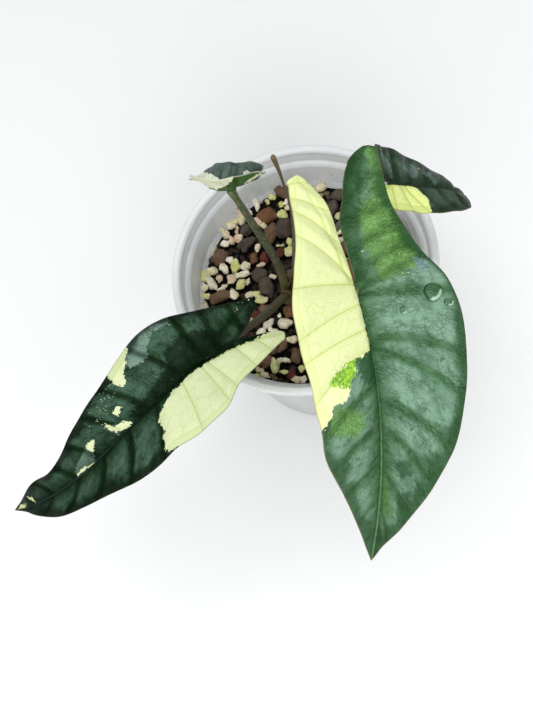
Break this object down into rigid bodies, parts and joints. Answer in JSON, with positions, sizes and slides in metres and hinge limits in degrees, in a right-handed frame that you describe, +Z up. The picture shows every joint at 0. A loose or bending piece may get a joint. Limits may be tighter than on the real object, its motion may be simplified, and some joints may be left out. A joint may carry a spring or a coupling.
{
  "type": "potted variegated alocasia",
  "caption": "Young arrow-leaved aroid with green and cream variegated leaves on slender stalks, growing in an open gritty mix in a clear round nursery pot.",
  "frame": {"origin": "centre of the underside of the pot", "axes": "+Z up along the pot's axis; the two large leaves reach towards -Y, one to each side"},
  "size_m": [0.1852, 0.1742, 0.1901],
  "materials": {
    "pot_plastic": "satin",
    "aroid_mix": "matte",
    "crown_skin": "matte",
    "leaf_variegated": "satin",
    "leaf_dark": "satin",
    "leaf_stalk": "satin",
    "dry_stalk": "matte",
    "water": "gloss"
  },
  "bodies": {
    "root": {"pot": "pot_plastic", "substrate": "aroid_mix", "crown": "crown_skin", "leaf_1_blade": "leaf_variegated", "leaf_1_stalk": "leaf_stalk", "leaf_2_blade": "leaf_dark", "leaf_2_stalk": "leaf_stalk", "leaf_3_blade": "leaf_dark", "leaf_3_stalk": "leaf_stalk", "leaf_4_blade": "leaf_dark", "leaf_4_stalk": "leaf_stalk", "old_leaf_stalk": "dry_stalk"}
  },
  "joints": []
}
